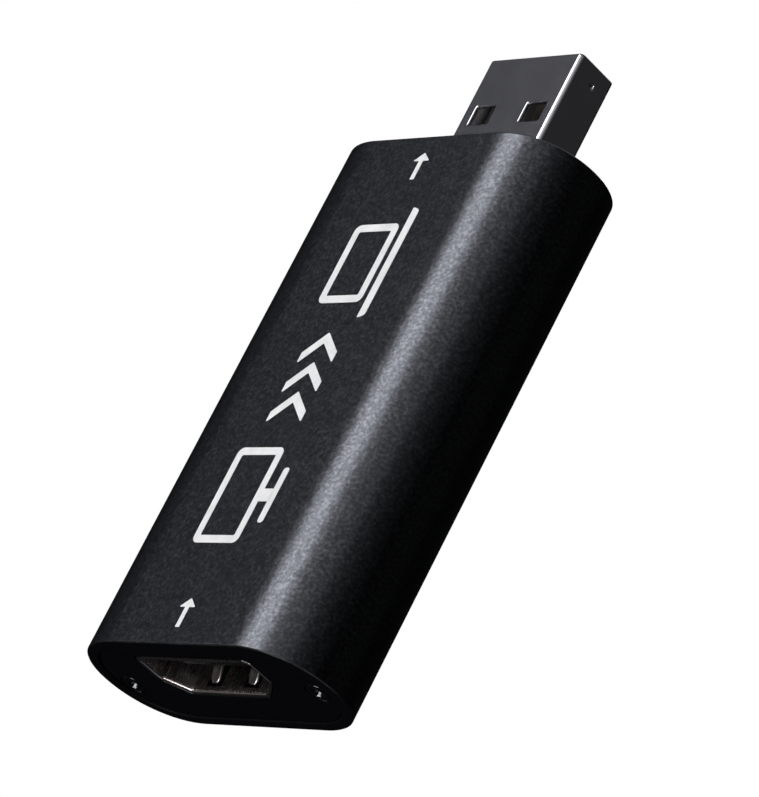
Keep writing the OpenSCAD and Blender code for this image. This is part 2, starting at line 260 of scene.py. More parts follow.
def join(ob, others):
    """Adds other closed meshes to ob as further shells of the same piece."""
    bm = bmesh.new()
    bm.from_mesh(ob.data)
    for o in others:
        bm.from_mesh(o.data)
    bm.to_mesh(ob.data)
    bm.free()
    for o in others:
        drop(o)
    shade(ob)
    return ob


def plate(name, walls, smooth=30.0):
    """A plate in X and Z with openings. walls: for each outline a list of rings of (x, y, z) from the front to the back,
    the outer outline first."""
    verts, faces, fronts, backs = [], [], [], []
    for rings in walls:
        v, f = loft(rings)
        o, n = len(verts), len(rings[0])
        verts += v
        faces += [tuple(i + o for i in q) for q in f]
        fronts.append([o + j for j in range(n)])
        backs.append([o + (len(rings) - 1) * n + j for j in range(n)])
    for loops in (fronts, backs):
        flat = [i for lo in loops for i in lo]
        polys = [[Vector((verts[i][0], verts[i][2], 0)) for i in lo] for lo in loops]
        for tri in tessellate_polygon(polys):
            faces.append(tuple(flat[i] for i in tri))
    return make(name, verts, faces, smooth)


def edge_path(y0, y1, r, n=3, support=0.03):
    """(y, offset) points of a wall from y0 to y1 whose two edges are rounded by r, with a flat rim beside each edge."""
    out = [(y0, r + support), (y0, r)]
    out += [(y0 + r * (1 - math.cos(t)), r * (1 - math.sin(t))) for t in (math.pi / 2 * k / n for k in range(1, n))]
    out += [(y0 + r, 0.0)]
    sgn = [(y1 - (y - y0), d) for y, d in reversed(out)]
    return out + sgn


# ---------------------------------------------------------------- materials
class Mat:
    def __init__(self, name):
        self.m = bpy.data.materials.new(name)
        self.m.use_nodes = True
        self.t = self.m.node_tree
        self.t.nodes.clear()
        self.out = self.t.nodes.new("ShaderNodeOutputMaterial")
        self.b = self.t.nodes.new("ShaderNodeBsdfPrincipled")
        self.t.links.new(self.b.outputs[0], self.out.inputs["Surface"])
        co = self.t.nodes.new("ShaderNodeTexCoord")
        mp = self.t.nodes.new("ShaderNodeMapping")
        mp.inputs["Scale"].default_value = (1000, 1000, 1000)
        self.t.links.new(co.outputs["Object"], mp.inputs["Vector"])
        self.mm = mp.outputs["Vector"]

    def set(self, **kw):
        for k, v in kw.items():
            k = k.replace("_", " ")
            self.b.inputs[k].default_value = (*v, 1) if isinstance(v, tuple) else v
        return self

    def link(self, a, b):
        self.t.links.new(a, b)

    def stretch(self, sx, sy, sz):
        mp = self.t.nodes.new("ShaderNodeMapping")
        mp.inputs["Scale"].default_value = (sx, sy, sz)
        self.link(self.mm, mp.inputs["Vector"])
        return mp.outputs["Vector"]

    def noise(self, scale, detail=3.0, rough=0.55, vec=None, dist=0.0):
        n = self.t.nodes.new("ShaderNodeTexNoise")
        n.inputs["Scale"].default_value = scale
        n.inputs["Detail"].default_value = detail
        n.inputs["Roughness"].default_value = rough
        n.inputs["Distortion"].default_value = dist
        self.link(vec or self.mm, n.inputs["Vector"])
        return n.outputs["Fac"]

    def voronoi(self, scale, vec=None, feature="F1"):
        n = self.t.nodes.new("ShaderNodeTexVoronoi")
        n.feature = feature
        n.inputs["Scale"].default_value = scale
        self.link(vec or self.mm, n.inputs["Vector"])
        return n.outputs["Distance"]

    def ramp(self, fac, stops, mode="LINEAR"):
        n = self.t.nodes.new("ShaderNodeValToRGB")
        n.color_ramp.interpolation = mode
        el = n.color_ramp.elements
        while len(el) < len(stops):
            el.new(0.5)
        for e, (p, c) in zip(el, stops):
            e.position = p
            e.color = (*c, 1) if isinstance(c, tuple) else (c, c, c, 1)
        self.link(fac, n.inputs["Fac"])
        return n.outputs["Color"]

    def span(self, fac, a, b, lo=0.0, hi=1.0):
        n = self.t.nodes.new("ShaderNodeMapRange")
        n.inputs["From Min"].default_value, n.inputs["From Max"].default_value = a, b
        n.inputs["To Min"].default_value, n.inputs["To Max"].default_value = lo, hi
        self.link(fac, n.inputs["Value"])
        return n.outputs["Result"]

    def math(self, op, a, b):
        n = self.t.nodes.new("ShaderNodeMath")
        n.operation = op
        for i, v in enumerate((a, b)):
            if isinstance(v, (int, float)):
                n.inputs[i].default_value = v
            else:
                self.link(v, n.inputs[i])
        return n.outputs[0]

    def mix(self, fac, a, b, mode="MIX"):
        n = self.t.nodes.new("ShaderNodeMix")
        n.data_type, n.blend_type = "RGBA", mode
        ins = [i for i in n.inputs if i.enabled]
        for s, v in zip(ins, (fac, a, b)):
            if isinstance(v, (int, float)):
                s.default_value = v
            elif isinstance(v, tuple):
                s.default_value = (*v, 1)
            else:
                self.link(v, s)
        return [o for o in n.outputs if o.enabled][0]

    def bump(self, height, strength, distance_mm, after=None):
        n = self.t.nodes.new("ShaderNodeBump")
        n.inputs["Strength"].default_value = strength
        n.inputs["Distance"].default_value = distance_mm * MM
        self.link(height, n.inputs["Height"])
        if after is not None:
            self.link(after, n.inputs["Normal"])
        return n.outputs["Normal"]

    def to(self, **kw):
        for k, v in kw.items():
            self.link(v, self.b.inputs[k.replace("_", " ")])
        return self


def anodised():
    """Bead-blasted aluminium, anodised black: a fine even sparkle over a very dark ground."""
    m = Mat("anodised_black")
    m.set(Metallic=1.0)
    fine = m.noise(3.1, 2.0, 0.55)
    grain = m.noise(2.0, 3.0, 0.65)
    broad = m.noise(0.12, 2.0, 0.5)
    pits = m.noise(2.6, 2.0, 0.5)
    col = m.ramp(fine, [(0.28, (0.036, 0.038, 0.043)), (0.52, (0.063, 0.066, 0.074)), (0.76, (0.118, 0.123, 0.137))])
    col = m.mix(m.span(broad, 0.3, 0.7, 0.0, 0.25), col, (0.053, 0.055, 0.063))
    rough = m.math("ADD", m.span(fine, 0.28, 0.76, 0.280, 0.326), m.span(grain, 0.25, 0.75, -0.012, 0.012))
    n1 = m.bump(pits, 0.26, 0.03)
    n2 = m.bump(fine, 0.12, 0.02, n1)
    m.to(Base_Color=col, Roughness=rough, Normal=n2)
    return m.m


def cut_edge():
    """The narrow broken edge at the ends of the extrusion: smoother and a little lighter, with fine cutter lines."""
    m = Mat("anodised_cut_edge")
    m.set(Metallic=1.0)
    lines = m.noise(6.0, 2.0, 0.5, m.stretch(0.25, 5.0, 0.25))
    wear = m.noise(0.9, 4.0, 0.6)
    col = m.ramp(wear, [(0.30, (0.065, 0.066, 0.072)), (0.55, (0.105, 0.106, 0.113)), (0.80, (0.18, 0.18, 0.19))])
    m.to(Base_Color=col, Roughness=m.span(lines, 0.3, 0.7, 0.26, 0.40), Normal=m.bump(lines, 0.2, 0.01))
    return m.m


def shaded_sawn_end():
    """The sawn end face and the bore of the sleeve: dull black with fine parallel saw lines. The colour is set far
    darker than the anodised sides, as painted shade, so the ends and bore read as unlit.
    """
    m = Mat("anodised_end_face_painted_shade")
    m.set(Metallic=0.25, Specular_IOR_Level=0.13)
    saw = m.noise(3.0, 3.0, 0.55, m.stretch(0.2, 0.2, 4.0))
    fine = m.noise(6.0, 2.0, 0.6)
    # near-black base: the dull black finish darkened further as painted shade, well below the anodised sleeve's own
    # tone
    col = m.ramp(fine, [(0.3, (0.002, 0.002, 0.0035)), (0.7, (0.006, 0.006, 0.008))])
    m.to(Base_Color=col, Roughness=m.span(saw, 0.3, 0.7, 0.50, 0.64), Normal=m.bump(saw, 0.15, 0.012))
    return m.m


def gloss_black():
    """Moulded glossy black with faint polish haze."""
    m = Mat("gloss_black_plastic")
    m.set(IOR=1.42)
    haze = m.noise(0.5, 4.0, 0.6)
    fine = m.noise(9.0, 2.0, 0.5)
    col = m.ramp(haze, [(0.3, (0.0015, 0.0015, 0.0026)), (0.7, (0.0030, 0.0030, 0.0046))])
    m.to(Base_Color=col, Roughness=m.span(haze, 0.3, 0.7, 0.14, 0.26), Normal=m.bump(fine, 0.06, 0.01))
    return m.m


def plated(name, base, lo, hi, streak=(4.0, 0.25, 4.0), tint=0.06, relief=0.10, scratch=0.35):
    """Plated sheet metal with rolling streaks, slight tarnish and fine scratches."""
    m = Mat(name)
    m.set(Metallic=1.0)
    roll = m.noise(2.2, 4.0, 0.6, m.stretch(*streak))
    blot = m.noise(0.35, 3.0, 0.55)
    scr = m.noise(7.0, 2.0, 0.5, m.stretch(3.0, 0.12, 3.0))
    dark = tuple(max(c - tint, 0) for c in base)
    col = m.ramp(blot, [(0.30, dark), (0.65, base)])
    col = m.mix(m.span(scr, 0.62, 0.72, 0.0, scratch), col, tuple(min(c + 0.12, 1) for c in base))
    part = (hi - lo) * 0.25
    m.to(Base_Color=col, Roughness=m.math("ADD", m.span(roll, 0.3, 0.7, lo, hi), m.span(blot, 0.3, 0.7, -part, part)),
         Normal=m.bump(roll, relief, 0.012))
    return m.m


def screw_metal():
    """Blackened steel."""
    m = Mat("screw_steel")
    m.set(Metallic=1.0)
    turn = m.noise(3.5, 3.0, 0.6)
    col = m.ramp(turn, [(0.3, (0.075, 0.076, 0.080)), (0.7, (0.17, 0.172, 0.18))])
    m.to(Base_Color=col, Roughness=m.span(turn, 0.3, 0.7, 0.16, 0.28), Normal=m.bump(turn, 0.12, 0.01))
    return m.m


def moulded(name, base, lo, hi, grain=6.0, strength=0.15, spec=0.5):
    m = Mat(name)
    m.set(Specular_IOR_Level=spec)
    g = m.noise(grain, 3.0, 0.6)
    b = m.noise(0.6, 3.0, 0.5)
    dark = tuple(c * 0.72 for c in base)
    m.to(Base_Color=m.ramp(b, [(0.3, dark), (0.7, base)]), Roughness=m.span(g, 0.3, 0.7, lo, hi), Normal=m.bump(g, strength, 0.02))
    return m.m


def gold():
    m = Mat("gold_plate")
    m.set(Metallic=1.0)
    b = m.noise(1.4, 3.0, 0.55)
    s = m.noise(6.0, 2.0, 0.5, m.stretch(3.0, 0.2, 3.0))
    m.to(Base_Color=m.ramp(b, [(0.3, (0.62, 0.42, 0.13)), (0.7, (0.86, 0.63, 0.24))]), Roughness=m.span(s, 0.3, 0.7, 0.16, 0.32),
         Normal=m.bump(s, 0.08, 0.008))
    return m.m


def board():
    """Lacquered laminate: copper tracks show through as lighter lines, with small plated holes."""
    m = Mat("board_laminate")
    t = m.t
    br = t.nodes.new("ShaderNodeTexBrick")
    br.inputs["Scale"].default_value = 0.42
    br.inputs["Mortar Size"].default_value = 0.055
    br.inputs["Mortar Smooth"].default_value = 0.1
    br.inputs["Color1"].default_value = (0, 0, 0, 1)
    br.inputs["Color2"].default_value = (0, 0, 0, 1)
    br.inputs["Mortar"].default_value = (1, 1, 1, 1)
    wob = m.noise(0.22, 1.0, 0.5)
    m.link(m.mm, br.inputs["Vector"])
    tracks = m.math("MULTIPLY", br.outputs["Color"], m.span(wob, 0.45, 0.55, 0.0, 1.0))
    vias = m.math("LESS_THAN", m.voronoi(0.45), 0.14)
    weave = m.noise(5.0, 2.0, 0.5)
    col = m.mix(tracks, (0.006, 0.030, 0.014), (0.014, 0.066, 0.030))
    col = m.mix(vias, col, (0.45, 0.33, 0.12))
    m.to(Base_Color=col, Roughness=m.span(weave, 0.3, 0.7, 0.28, 0.42), Normal=m.bump(m.math("ADD", tracks, vias), 0.25, 0.03))
    return m.m


def ink():
    """Screen-printed pale ink with a slightly uneven film."""
    m = Mat("print_ink")
    g = m.noise(5.0, 3.0, 0.6)
    b = m.noise(0.8, 2.0, 0.5)
    m.to(Base_Color=m.ramp(b, [(0.3, (0.66, 0.66, 0.67)), (0.7, (0.76, 0.76, 0.77))]), Roughness=m.span(g, 0.3, 0.7, 0.5, 0.68),
         Normal=m.bump(g, 0.2, 0.006))
    return m.m


M = {
    "sleeve": anodised(), "edge": cut_edge(), "end": shaded_sawn_end(), "cap": gloss_black(), "screw": screw_metal(),
    "socket": plated("socket_nickel", (0.58, 0.525, 0.515), 0.22, 0.32, relief=0.05),
    "plug": plated("plug_nickel", (0.655, 0.645, 0.685), 0.170, 0.200, (2.0, 0.5, 2.0), 0.04, 0.02, 0.14),
    # the fingers' nickel is the socket's plate with its colour set lighter, as painted light, so they stand out from
    # the shaded socket floor
    "spring": plated("spring_nickel_painted_light", (0.84, 0.80, 0.78), 0.28, 0.36, relief=0.03),
    "black": moulded("black_insulator", (0.008, 0.008, 0.009), 0.42, 0.58, spec=0.1),
    "grey": moulded("plug_insulator", (0.50, 0.495, 0.475), 0.40, 0.56),
    "gold": gold(), "contact": plated("contact_plate", (0.70, 0.66, 0.57), 0.30, 0.42, relief=0.04), "board": board(),
    "chip": moulded("chip_package", (0.024, 0.024, 0.027), 0.52, 0.70, 5.0, 0.25),
    "tin": plated("tinned_metal", (0.66, 0.66, 0.67), 0.30, 0.45, (2.0, 2.0, 2.0)),
    "ceramic": moulded("capacitor_ceramic", (0.36, 0.25, 0.15), 0.55, 0.75),
    "ferrite": moulded("ferrite_grey", (0.12, 0.12, 0.13), 0.50, 0.70),
    "yellow": moulded("capacitor_yellow", (0.60, 0.38, 0.06), 0.40, 0.58),
    "ink": ink(),
}


def dress(ob, key, body="box", replaces=()):
    ob.data.materials.clear()
    ob.data.materials.append(M[key])
    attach(ob, body)
    if replaces:
        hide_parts(*replaces)
    return ob


# ---------------------------------------------------------------- sleeve
def sleeve():
    c = 0.12
    path = []  # (y, inward offset), once round the wall of the tube
    ends = [(0.0, c + 0.02), (0.01, c - 0.02), (c - 0.02, 0.01), (c + 0.02, 0.0), (c + 0.08, 0.0)]
    path += [(Y_IN + y, d) for y, d in ends]
    path += [(Y_IN + BODY_L * i / 12, 0.0) for i in range(1, 12)]
    path += [(Y_OUT - y, d) for y, d in reversed(ends)]
    inner = [(0.0, WALL - 0.10), (0.02, WALL - 0.05), (0.10, WALL)]
    path += [(Y_OUT - y, d) for y, d in inner]
    path += [(Y_OUT - BODY_L * i / 6, WALL) for i in range(1, 6)]
    path += [(Y_IN + y, d) for y, d in reversed(inner)]
    v, f = loft([ring_y(section(d), y) for y, d in path], path_closed=True)
    ob = make("sleeve", v, f, 28.0)
    for key in ("sleeve", "edge", "end"):
        ob.data.materials.append(M[key])
    per = len(section(0.0))
    outer = len(ends) * 2 + 11
    # chamfer rows take the cut-edge material; end faces and bore take the end material, which is darkened as painted
    # shade
    for p in ob.data.polygons:
        row = p.index // per
        if row in (0, 1, 2) or row in (outer - 4, outer - 3, outer - 2):
            p.material_index = 1
        elif row >= outer - 1:
            p.material_index = 2
    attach(ob, "box")
    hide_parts("housing_sleeve")
    return ob


def rails():
    """The board rails and screw bosses on the inside of the sleeve."""
    z0, zs = BOARD_TOP - BOARD_T, SCREW_Z
    lo = z0 - 0.95

    def wall_x(z):
        dz = z - ZM
        return FLAT + math.sqrt((ZM - WALL * 0.6) ** 2 - dz * dz)

    pts = [(9.7, lo), (wall_x(lo), lo)]
    pts += [(wall_x(lo + (7.0 - lo) * i / 10), lo + (7.0 - lo) * i / 10) for i in range(1, 11)]
    pts += arc(SCREW_X, zs, 1.5, 50, 180, 16)
    pts += [(9.7, zs), (9.7, BOARD_TOP + 0.06), (BOARD_HW + 0.15, BOARD_TOP + 0.06), (BOARD_HW + 0.15, z0 - 0.06), (9.7, z0 - 0.06)]
    hole = arc(SCREW_X, zs, 0.8, 0, 360, 32)[:-1]
    y0, y1 = Y_IN + CAP_RECESS + CAP_T + 0.05, Y_OUT - CAP_RECESS - CAP_T - 0.05
    out = []
    for sx in (1, -1):
        walls = [[ring_y([(sx * x, z) for x, z in loop], y) for y in (y0, y1)] for loop in (pts, hole)]
        ob = plate("sleeve_rail_" + ("right" if sx > 0 else "left"), walls)
        out.append(dress(ob, "sleeve"))
    return out


# ---------------------------------------------------------------- end caps and screws
def seat_wall(x, y, facing):
    """Rings of one countersunk screw hole, from the cap's front (its -Y side) to its back; facing is the side the head is on."""
    r = HEAD_R + 0.05
    prof = [(0.0, r + 0.10), (0.0, r + 0.07), (0.02, r + 0.02), (0.07, r), (0.27, r), (0.82, 0.82), (CAP_T - 0.04, 0.82), (CAP_T, 0.86), (CAP_T, 0.90)]
    rings = [ring_y([(x + px, pz) for px, pz in arc(0, SCREW_Z, q, 0, 360, 48)[:-1]], y - facing * d) for d, q in prof]
    return rings if facing < 0 else rings[::-1]


def input_cap():
    y0, y1 = Y_IN + CAP_RECESS, Y_IN + CAP_RECESS + CAP_T
    walls = [[ring_y(section(WALL + 0.06 + d, 1), y) for y, d in edge_path(y0, y1, 0.10)]]
    walls.append([ring_y(socket_outline(-0.20 - d), y, SK_ZC) for y, d in edge_path(y0, y1, 0.08)])
    walls += [seat_wall(s * SCREW_X, y0, -1) for s in (-1, 1)]
    ob = plate("input_cap", walls)
    tools = []
    for s in (-1, 1):
        for z0, z1 in ((SK_ZC + SK_BOT - 0.75, SK_ZC - 1), (SK_ZC + 1, SK_ZC + SK_TOP + 0.75)):
            tools.append(boxm("cutter", s * SPRING_X - 1, s * SPRING_X + 1, LIP_Y + 0.75, y1 + 2, z0, z1))
    cut(ob, tools)
    return dress(level(ob), "cap", replaces=["input_end_cap"])


def output_cap():
    y0, y1 = Y_OUT - CAP_RECESS - CAP_T, Y_OUT - CAP_RECESS
    walls = [[ring_y(section(WALL + 0.06 + d, 1), y) for y, d in edge_path(y0, y1, 0.10)]]
    walls.append([ring_y(rect_outline(PLUG_W + 0.14, PLUG_H + 0.14, -d, 0.46), y, PL_ZC) for y, d in edge_path(y0, y1, 0.08)])
    walls += [seat_wall(s * SCREW_X, y1, 1) for s in (-1, 1)]
    ob = plate("output_cap", walls)
    return dress(level(ob), "cap", replaces=["output_end_cap"])


def cross_cutter():
    """A tapered cross that sinks 0.6 mm into a screw head, the head's face at y = 0 and facing +Y."""
    tools = []
    for turn in (0, 90):
        a, b, w0, w1 = 0.86, 0.42, 0.19, 0.13
        v = [(-a, 0.3, -w0), (a, 0.3, -w0), (a, 0.3, w0), (-a, 0.3, w0),
             (-b, -0.6, -w1), (b, -0.6, -w1), (b, -0.6, w1), (-b, -0.6, w1)]
        f = [(0, 1, 2, 3), (7, 6, 5, 4), (0, 4, 5, 1), (1, 5, 6, 2), (2, 6, 7, 3), (3, 7, 4, 0)]
        t = make("cutter", v, f)
        tools.append(place(t, Matrix.Rotation(math.radians(turn), 4, "Y")))
    # the dished middle where the four wings meet
    dish = [(0.54 * math.sin(math.radians(t)), 0.18 - 0.54 * math.cos(math.radians(t))) for t in range(70, 0, -7)]
    tools.append(revolve("cutter", [(0, 0.3), (0.53, 0.3)] + dish + [(0, -0.36)], 40))
    return tools


def screws(name, y, facing, turns, node):
    made = []
    for s, turn in zip((-1, 1), turns):
        prof = [(0, 0.0), (HEAD_R - 0.16, 0.0), (HEAD_R - 0.06, -0.03), (HEAD_R - 0.01, -0.10), (HEAD_R, -0.18), (HEAD_R - 0.02, -0.27),
                (0.77, -0.78)]
        prof += [(r, -0.9 - 0.2 * i - o) for i in range(23) for r, o in ((0.60, 0.0), (0.77, 0.10))]
        prof += [(0.55, -5.7), (0.0, -6.5)]
        ob = revolve("screw", prof, 48)
        cut(ob, cross_cutter())
        m = shift(s * SCREW_X, y, SCREW_Z)
        if facing < 0:
            m = m @ Matrix.Rotation(math.pi, 4, "X")
        made.append(place(ob, m @ Matrix.Rotation(math.radians(turn), 4, "Y")))
    ob = join(made[0], made[1:])
    ob.name = name
    return dress(ob, "screw", replaces=[node])


# ---------------------------------------------------------------- video socket
def socket():
    path = [(0.00, 0.06), (0.00, -0.085), (0.015, -0.11), (0.16, -0.12), (0.30, -0.11), (0.45, -0.05), (0.62, 0.0), (3.0, 0.0), (6.0, 0.0), (SK_L, 0.0),
            (SK_L, SK_T), (6.0, SK_T), (3.0, SK_T), (0.75, SK_T), (0.26, SK_T), (0.185, 0.290), (0.115, 0.262), (0.060, 0.218), (0.020, 0.160), (0.003, 0.10)]
    # along the top the lip's front is flat over most of the sheet, and its right corner is worn back
    flat = [(0.00, 0.20)] + path[1:14] + [(0.13, SK_T), (0.085, 0.297), (0.05, 0.285), (0.026, 0.268), (0.010, 0.248), (0.002, 0.225)]
    worn = [(0.00, 0.11), (0.025, 0.08), (0.10, 0.005), (0.17, -0.065), (0.30, -0.11)] + path[5:-2] + [(0.020, 0.165), (0.003, 0.13)]
    rings = []
    for (y, d), (yf, df), (yw, dw) in zip(path, flat, worn):
        ring = []
        for (x, z), (xf, zf), (xw, zw) in zip(socket_outline(d), socket_outline(df), socket_outline(dw)):
            w = max(0.0, min(1.0, (z - SK_TOP + 0.5) / 0.3)) if y < 0.31 else 0.0
            xt, yt, zt = (xw, yw, zw) if x > SK_HW - 0.54 else (xf, yf, zf)
            ring.append((x + (xt - x) * w, LIP_Y + y + (yt - y) * w, SK_ZC + z + (zt - z) * w))
        rings.append(ring)
    v, f = loft(rings, path_closed=True)
    ob = make("socket", v, f, 35.0)
    hw = SPRING_W / 2 + 0.28
    tools = []
    for s in (-1, 1):
        for z0, z1 in ((SK_ZC + SK_BOT - 1, SK_ZC - 1), (SK_ZC + 1, SK_ZC + SK_TOP + 1)):
            tools.append(boxm("cutter", s * SPRING_X - hw, s * SPRING_X + hw, LIP_Y + 0.65, LIP_Y + SPRING_ROOT + 0.16, z0, z1))
    cut(ob, tools, smooth=35.0)
    legs = []
    for s in (-1, 1):
        for d in (3.4, 8.4):
            x = sorted((s * (SK_HW - SK_T + 0.03), s * (SK_HW - 0.03)))
            legs.append(boxm("leg", x[0], x[1], LIP_Y + d - 0.5, LIP_Y + d + 0.5, BOARD_TOP - BOARD_T - 0.55, SK_ZC - 0.2, 0.05))
    level(join(ob, legs))
    return dress(ob, "socket", replaces=["socket_shell"])


def finger(name, s, upper):
    """One sprung finger: root, bowed crest and rounded free end."""
    h = SPRING_T / 2
    c = SPRING_RISE + SK_T / 2 - SPRING_T / 2
    line = []
    keys = [(0.06, 0.0), (0.6, 0.0), (1.2, 0.0), (1.8, 0.005), (2.3, 0.07), (2.8, 0.26), (3.2, 0.44), (3.5, 0.565), (3.75, 0.635), (3.95, c), (4.15, 0.63),
            (4.4, 0.545), (4.7, 0.43), (4.95, 0.315), (5.17, 0.205), (5.32, 0.135), (5.42, 0.10)]
    for i, (d, z) in enumerate(keys):
        a, b = keys[max(i - 1, 0)], keys[min(i + 1, len(keys) - 1)]
        t = Vector((b[0] - a[0], b[1] - a[1])).normalized()
        w = SPRING_W / 2 - 0.07 * max(0.0, min(1.0, (d - 1.8) / 1.2))
        left = keys[-1][0] + 0.02 - d
        if left < w:
            w *= 0.30 + 0.70 * math.sqrt(max(0.0, 1 - ((w - left) / w) ** 2))
        line.append((d, z, t, w))
    rings = []
    for d, z, t, w in line:
        nrm = Vector((-t.y, t.x))
        crown = 0.10 * max(0.0, min(1.0, (d - 1.8) / 1.4)) * max(0.25, min(1.0, (5.6 - d) / 0.8))
        r, m = 0.105, 8
        sec = arc(w - r, -h + r, r, -90, 0, 3) + arc(w - r, h - r, r, 0, 90, 3)
        sec += [((w - r) * (1 - 2 * i / m), h) for i in range(1, m)]
        sec += arc(-w + r, h - r, r, 90, 180, 3) + arc(-w + r, -h + r, r, 180, 270, 3)
        sec += [((w - r) * (2 * i / m - 1), -h) for i in range(1, m)]
        ring = []
        dish = 0.11 * max(0.0, min(1.0, (d - 2.9) / 0.7)) * max(0.0, min(1.0, (5.3 - d) / 0.6))
        for x, k in sec:
            if k > h - 1e-6:
                k -= dish * max(0.0, 1 - (x / (w * 0.78)) ** 2)
            k -= crown * (x / w) ** 2
            ring.append((x, -(d + nrm.x * k), z + nrm.y * k))
        rings.append(ring)
    v, f = loft(rings, cap=True)
    ob = make(name, v, f, 40.0)
    z = SK_ZC + (SK_TOP - SK_T / 2 if upper else SK_BOT + SK_T / 2)
    m = shift(s * SPRING_X, LIP_Y + SPRING_ROOT, z)
    if upper:
        m = m @ Matrix.Diagonal((1, 1, -1, 1))
    place(ob, m)
    if upper:
        ob.data.flip_normals()
    node = f"spring_{'upper' if upper else 'lower'}_{'left' if s < 0 else 'right'}"
    return dress(ob, "spring", body=node, replaces=[node])


# ---------------------------------------------------------------- plug
def window_cutter(x, y, w, l, up):
    """Cutter for a punched window in the plug's top (up 1) or underside (up -1), its outer edge rolled in."""
    r, zf = 0.15, PLUG_H / 2
    levels = [(zf + 0.6, r + 0.6), (zf + 0.05, r + 0.05)]
    levels += [(zf - r * (1 - math.cos(t)), r * (1 - math.sin(t))) for t in (math.pi / 2 * k / 5 for k in range(6))]
    levels += [(zf - PL_T - 0.5, 0.0)]
    rings = []
    for z, d in levels:
        pts = rounded([(w / 2 + d, -l / 2 - d), (w / 2 + d, l / 2 + d), (-w / 2 - d, l / 2 + d), (-w / 2 - d, -l / 2 - d)], [0.12 + d] * 4, 5)
        rings.append([(x + px, y + py, PL_ZC + up * z) for px, py in pts])
    v, f = loft(rings, cap=True)
    return make("cutter", v, f)


def plug():
    r, r_top = 0.42, 0.52
    path = [(Y_TIP, 0.20), (Y_TIP - 0.01, 0.12), (Y_TIP - 0.05, 0.05), (Y_TIP - 0.12, 0.012), (Y_TIP - 0.22, 0.0)]
    path += [(Y_TIP - 18.8 * i / 10, 0.0) for i in range(1, 10)] + [(PL_REAR, 0.0), (PL_REAR, PL_T)]
    path += [(PL_REAR + 18.8 * i / 10, PL_T) for i in range(1, 10)] + [(Y_TIP - 0.16, PL_T), (Y_TIP - 0.04, PL_T - 0.03)]
    v, f = loft([ring_y(rect_outline(PLUG_W, PLUG_H, d, r, 10, r_top), y, PL_ZC) for y, d in path], path_closed=True)
    ob = make("plug", v, f, 35.0)
    tools = []
    for s in (-1, 1):
        for up in (-1, 1):
            tools.append(window_cutter(s * 3.3, Y_TIP - 6.325, 2.5, 2.05, up))
        # a small round punch mark in each side
        ball = [(0.35 * math.cos(math.radians(t)), 0.35 * math.sin(math.radians(t))) for t in range(-80, 90, 10)]
        punch = revolve("cutter", [(0, -0.35)] + ball + [(0, 0.35)], 36)
        tools.append(place(punch, shift(s * (PLUG_W / 2 + 0.11), Y_TIP - 1.93, PL_ZC - 0.18)))
    # the folded seam of the sheet, along the middle of the underside
    tools.append(boxm("cutter", -0.035, 0.035, PL_REAR - 1, Y_TIP + 1, PL_ZC - 3, PL_ZC - PLUG_H / 2 + 0.12))
    cut(ob, tools, smooth=35.0)
    legs = []
    for s in (-1, 1):
        # a bent foot of the sheet on each side, down through the board
        x0, z0, z1 = PLUG_W / 2 - 0.2, BOARD_TOP + 0.05, BOARD_TOP - BOARD_T - 0.5
        bend = rounded([(x0, z0), (7.4, z0), (7.4, z1), (7.7, z1), (7.7, z0 + 0.3), (x0, z0 + 0.3)], [0.02, 0.05, 0.06, 0.06, 0.32, 0.02], 5)
        legs.append(plate("leg", [[ring_y([(s * x, z) for x, z in bend], y) for y in (Y_OUT - 4.35, Y_OUT - 3.15)]]))
    level(join(ob, legs))
    return dress(ob, "plug", replaces=["plug_shell"])


# ---------------------------------------------------------------- printed marks
def print_film(loops):
    """One patch of ink on the top face from outlines in (u, v): u runs along the box, v towards -X."""
    ob = plate("film", [[ring_y(lo, y) for y in (0.0, 0.008, 0.024)] for lo in loops])
    turn = Matrix(((0, 0, -1, 0), (1, 0, 0, 0), (0, -1, 0, 0), (0, 0, 0, 1)))
    return place(ob, shift(0, 0, 2 * ZM + 0.014) @ turn)


def box_loop(u0, u1, v0, v1, r):
    return rounded([(u1, v0), (u1, v1), (u0, v1), (u0, v0)], [r] * 4, 6)


def outline(u0, u1, v0, v1, r, t):
    return [box_loop(u0, u1, v0, v1, r), box_loop(u0 + t, u1 - t, v0 + t, v1 - t, max(r - t, 0.15))]


def chevron(u, v, h, t):
    k = t * 1.35
    return [rounded([(u, v - h), (u + k, v - h), (u + k + h * 0.9, v), (u + k, v + h), (u, v + h), (u + h * 0.9, v)], [0.1] * 6, 3)]


def arrow(u0, u1, v, t, head):
    b = u1 - head * 0.85
    return [rounded([(u0, v - t), (b, v - t), (b, v - head), (u1, v), (b, v + head), (b, v + t), (u0, v + t)], [0.06] * 7, 3)]


def marks():
    films = []
    # the signal's way in and out, at the two ends
    films.append(arrow(-31.5, -28.6, 0, 0.27, 1.05))
    films.append(arrow(15.2, 18.1, 0, 0.27, 1.05))
    # a screen, three chevrons and a portable computer
    films.append(outline(-23.0, -13.2, -2.0, 4.0, 0.7, 0.78))
    films.append([box_loop(-18.75, -17.45, -3.25, -1.98, 0.05)])
    films.append([box_loop(-20.9, -15.3, -3.95, -3.2, 0.3)])
    for k in range(3):
        films.append(chevron(-10.6 + 3.1 * k, 0.2, 2.3, 0.85))
    films.append(outline(2.0, 10.4, -1.7, 4.0, 0.7, 0.78))
    films.append([rounded([(0.6, -3.2), (11.8, -3.2), (12.1, -2.3), (0.3, -2.3)], [0.42, 0.42, 0.12, 0.12], 5)])
    obs = [print_film(f) for f in films]
    ob = join(obs[0], obs[1:])
    ob.name = "printed_marks"
    return dress(ob, "ink")


